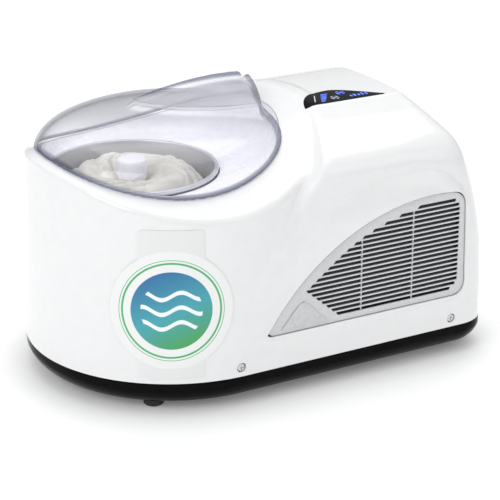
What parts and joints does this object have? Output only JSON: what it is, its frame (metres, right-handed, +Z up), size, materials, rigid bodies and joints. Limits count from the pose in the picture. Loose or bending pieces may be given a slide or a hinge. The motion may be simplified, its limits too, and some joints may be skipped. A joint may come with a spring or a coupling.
{
  "type": "ice cream maker",
  "caption": "Countertop compressor ice cream maker with a clear lift-off lid, removable bowl, driven paddle and side-vented motor housing.",
  "frame": {"origin": "middle of the footprint, on the surface the feet stand on", "axes": "+X along the body towards the motor end, -Y towards the user, +Z up"},
  "size_m": [0.425, 0.2844, 0.2588],
  "materials": {
    "shell_white": "glossy white moulding",
    "base_black": "glossy black moulding",
    "foot_rubber": "matt black rubber",
    "screw_steel": "plated steel screw",
    "grille_grey": "satin light grey moulding",
    "badge_grey": "satin light grey plate, blank",
    "label_film": "printed plastic film with a plain round emblem",
    "display_black": "glossy black touch panel with blue lit symbols",
    "deck_white": "white moulding, lightly frosted",
    "lid_clear": "clear smoky plastic",
    "bowl_metal": "grey anodised aluminium",
    "paddle_white": "white food-safe moulding",
    "cap_white": "white moulding",
    "shaft_steel": "ground steel",
    "well_metal": "spun aluminium",
    "copper": "drawn copper tube",
    "foam": "moulded foam",
    "bearing_brass": "sintered bronze",
    "gear_plastic": "natural nylon",
    "bracket_steel": "galvanised sheet",
    "motor_dark": "black painted motor case",
    "compressor_black": "black painted steel can",
    "fin_aluminium": "bare aluminium fins",
    "fan_black": "black moulding",
    "board_green": "circuit board",
    "inlet_black": "black moulding"
  },
  "bodies": {
    "base": {"housing_shell": "shell_white", "base_tray": "base_black", "foot_1": "foot_rubber", "foot_2": "foot_rubber", "foot_3": "foot_rubber", "foot_4": "foot_rubber", "housing_screw_1": "screw_steel", "housing_screw_2": "screw_steel", "housing_screw_3": "screw_steel", "housing_screw_4": "screw_steel", "vent_grille_front": "grille_grey", "vent_grille_rear": "grille_grey", "badge_plate": "badge_grey", "front_label": "label_film", "display_panel": "display_black", "deck_tray": "deck_white", "evaporator_well": "well_metal", "evaporator_coil": "copper", "insulation": "foam", "shaft_bearing": "bearing_brass", "shaft_seal": "foot_rubber", "gear_case": "bracket_steel", "gear_cover": "bracket_steel", "mix_motor": "motor_dark", "compressor": "compressor_black", "compressor_mount_1": "foot_rubber", "compressor_mount_2": "foot_rubber", "compressor_mount_3": "foot_rubber", "compressor_mount_4": "foot_rubber", "condenser": "fin_aluminium", "condenser_tubes": "copper", "fan_shroud": "fan_black", "fan_motor": "bracket_steel", "fan_bracket": "bracket_steel", "filter_drier": "copper", "suction_line": "copper", "discharge_line": "copper", "control_board": "board_green", "power_board": "board_green", "power_inlet": "inlet_black"},
    "lid": {"lid": "lid_clear"},
    "bowl": {"bowl": "bowl_metal"},
    "paddle": {"paddle": "paddle_white", "paddle_cap": "cap_white"},
    "drive": {"drive_shaft": "shaft_steel", "worm_wheel": "gear_plastic"},
    "worm": {"worm": "shaft_steel"},
    "fan": {"fan": "fan_black"}
  },
  "joints": [
    {"name": "lid_lift", "type": "slide", "parent": "base", "child": "lid", "axis": [0, 0, 1], "range_m": [0, 0.26]},
    {"name": "bowl_lift", "type": "slide", "parent": "base", "child": "bowl", "axis": [0, 0, 1], "range_m": [0, 0.13]},
    {"name": "drive_spin", "type": "hinge", "parent": "base", "child": "drive", "pos_m": [-0.1115, 0, 0.1], "axis": [0, 0, 1], "continuous": true},
    {"name": "paddle_spin", "type": "hinge", "parent": "bowl", "child": "paddle", "pos_m": [-0.1115, 0, 0.1], "axis": [0, 0, 1], "continuous": true},
    {"name": "worm_spin", "type": "hinge", "parent": "base", "child": "worm", "pos_m": [-0.1115, -0.0473, 0.044], "axis": [1, 0, 0], "continuous": true},
    {"name": "fan_spin", "type": "hinge", "parent": "base", "child": "fan", "pos_m": [0.085, -0.07, 0.102], "axis": [0, 1, 0], "continuous": true}
  ],
  "couplings": [
    {"joint": "bowl_lift", "follows": "lid_lift", "ratio": 0.5},
    {"joint": "drive_spin", "follows": "worm_spin", "ratio": 0.033333},
    {"joint": "paddle_spin", "follows": "worm_spin", "ratio": 0.033333}
  ]
}
